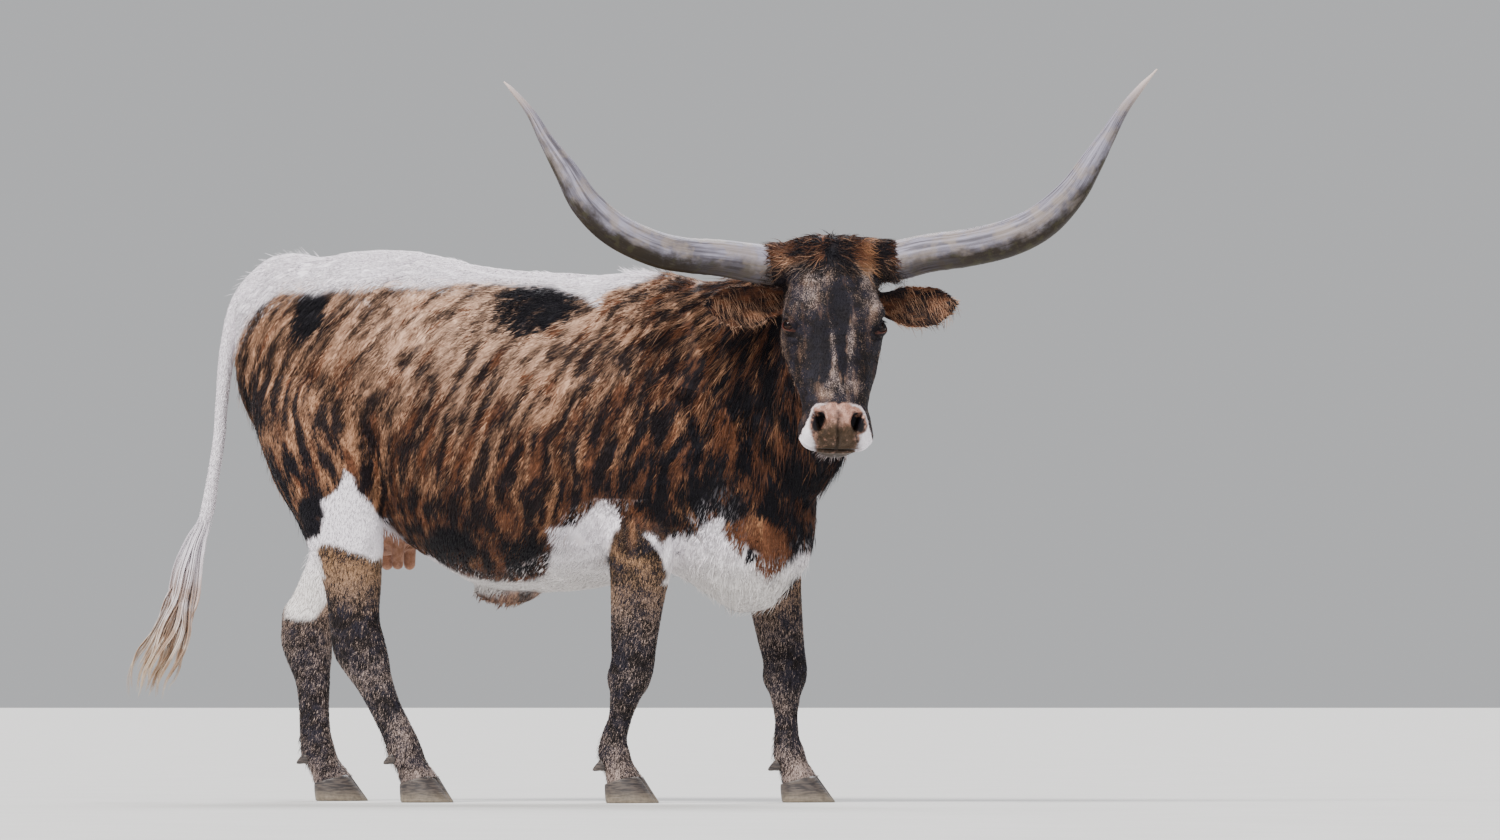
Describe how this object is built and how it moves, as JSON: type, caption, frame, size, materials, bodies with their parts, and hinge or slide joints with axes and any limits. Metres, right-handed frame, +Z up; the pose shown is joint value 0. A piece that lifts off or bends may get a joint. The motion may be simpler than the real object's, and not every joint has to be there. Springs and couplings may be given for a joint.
{
  "type": "longhorn cow model",
  "caption": "Still life-size standing longhorn cow with a brindle coat and very wide upswept horns, head turned to its right.",
  "frame": {"origin": "middle of the model's own box, on the floor between the hooves", "axes": "+X is the way the cow walks and the box's longest side, +Y is the cow's left, +Z is up"},
  "size_m": [2.5438, 0.8282, 1.7404],
  "materials": {
    "horn": "weathered pale grey horn, ringed near the base",
    "hoof": "dull dark hoof horn",
    "eye": "dark, wet and glossy",
    "dark_coat": "short flat hair, black with pale flecks",
    "white_coat": "short white hair",
    "switch_hair": "long wavy cream hair",
    "bare_skin": "bare reddish tan skin",
    "roan_coat": "short hair, black, tan and white mixed",
    "brindle_coat": "short hair, tan and rust with black stripes and white patches"
  },
  "bodies": {
    "root": {"barrel": "brindle_coat", "cannon_fore_left": "roan_coat", "cannon_fore_right": "roan_coat", "cannon_hind_left": "roan_coat", "cannon_hind_right": "roan_coat", "chest": "brindle_coat", "claw_inner_fore_left": "hoof", "claw_inner_fore_right": "hoof", "claw_inner_hind_left": "hoof", "claw_inner_hind_right": "hoof", "claw_outer_fore_left": "hoof", "claw_outer_fore_right": "hoof", "claw_outer_hind_left": "hoof", "claw_outer_hind_right": "hoof", "dewclaw_inner_fore_left": "hoof", "dewclaw_inner_fore_right": "hoof", "dewclaw_inner_hind_left": "hoof", "dewclaw_inner_hind_right": "hoof", "dewclaw_outer_fore_left": "hoof", "dewclaw_outer_fore_right": "hoof", "dewclaw_outer_hind_left": "hoof", "dewclaw_outer_hind_right": "hoof", "ear_left": "brindle_coat", "ear_right": "brindle_coat", "eye_left": "eye", "eye_right": "eye", "forearm_left": "roan_coat", "forearm_right": "roan_coat", "head": "dark_coat", "hindquarters": "brindle_coat", "horn_left": "horn", "horn_right": "horn", "neck": "brindle_coat", "pastern_fore_left": "roan_coat", "pastern_fore_right": "roan_coat", "pastern_hind_left": "roan_coat", "pastern_hind_right": "roan_coat", "tail": "white_coat", "tail_switch": "switch_hair", "teat_front_left": "bare_skin", "teat_front_right": "bare_skin", "teat_rear_left": "bare_skin", "teat_rear_right": "bare_skin", "thigh_left": "roan_coat", "thigh_right": "roan_coat", "udder": "bare_skin"}
  },
  "joints": []
}
